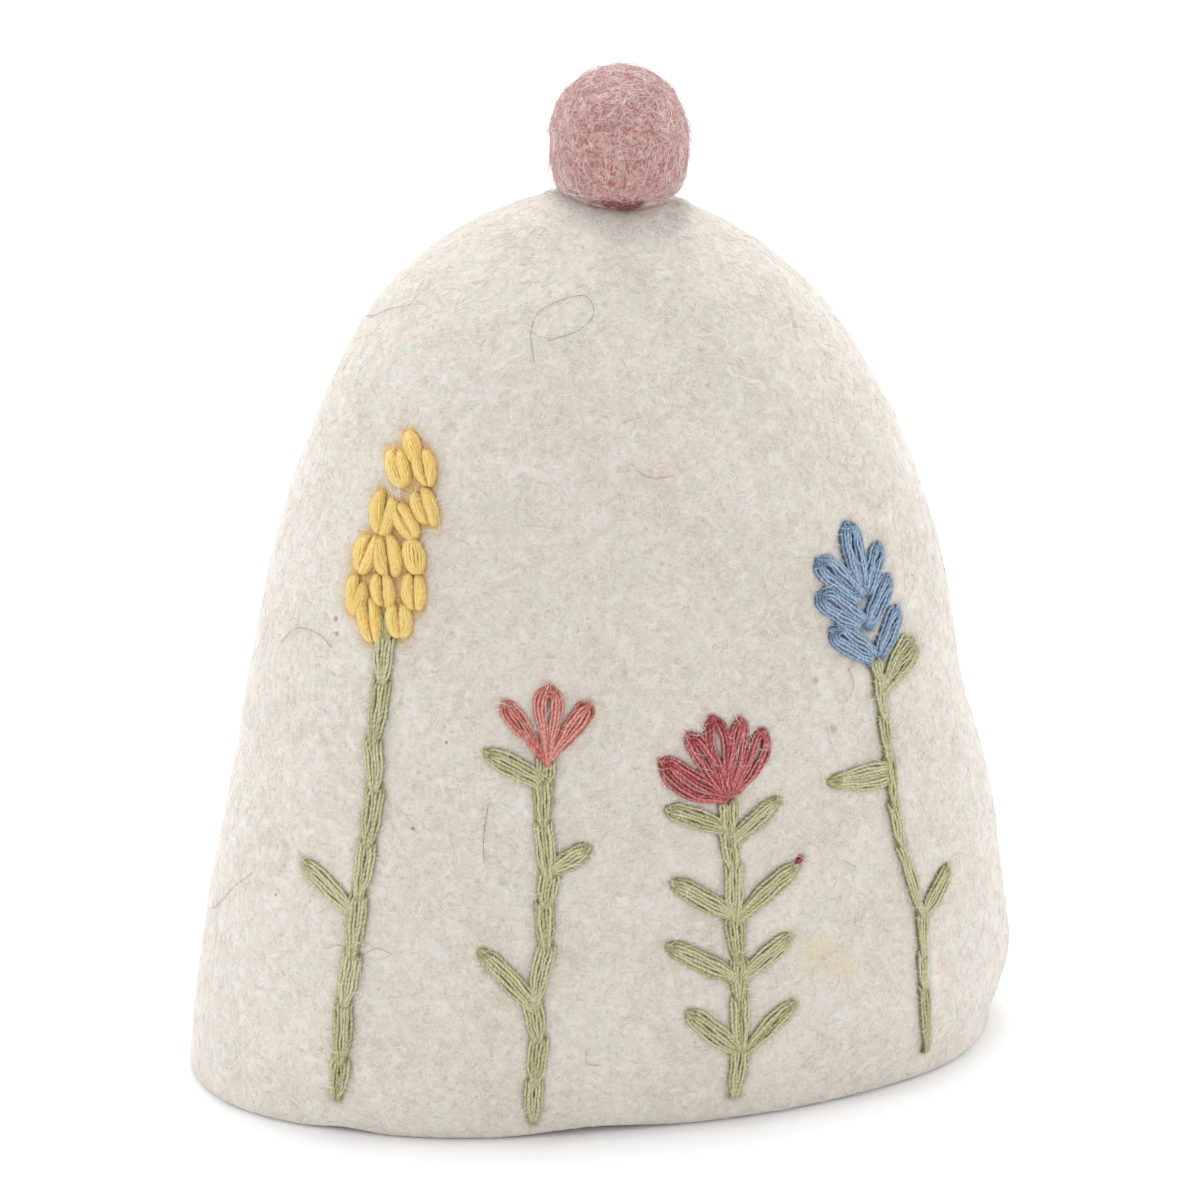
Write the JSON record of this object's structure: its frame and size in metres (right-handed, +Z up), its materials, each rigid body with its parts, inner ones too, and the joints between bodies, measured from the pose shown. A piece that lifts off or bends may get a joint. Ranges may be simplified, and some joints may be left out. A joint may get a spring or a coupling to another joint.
{
  "type": "egg cosy",
  "caption": "Bell-shaped wet-felted wool egg cosy, open at its hem, with a felt ball on the crown and stitched flowers up the front.",
  "frame": {"origin": "on the surface the cosy stands on, under the middle of its box", "axes": "+Z up; +X to the right of a person who faces the embroidered front; the embroidered front faces -Y"},
  "size_m": [0.0911, 0.0492, 0.1091],
  "materials": {
    "cream_felt": "wet-felted undyed sheep's wool, matt, with short loose fibres on its face",
    "rose_felt": "wet-felted dyed wool, matt, with paler fibres wound over it",
    "green_thread": "stranded cotton, soft sheen",
    "yellow_thread": "stranded cotton, soft sheen",
    "coral_thread": "stranded cotton, soft sheen",
    "raspberry_thread": "stranded cotton, soft sheen",
    "blue_thread": "stranded cotton, soft sheen"
  },
  "bodies": {
    "root": {"felt_bag": "cream_felt", "felt_ball": "rose_felt"}
  },
  "joints": []
}
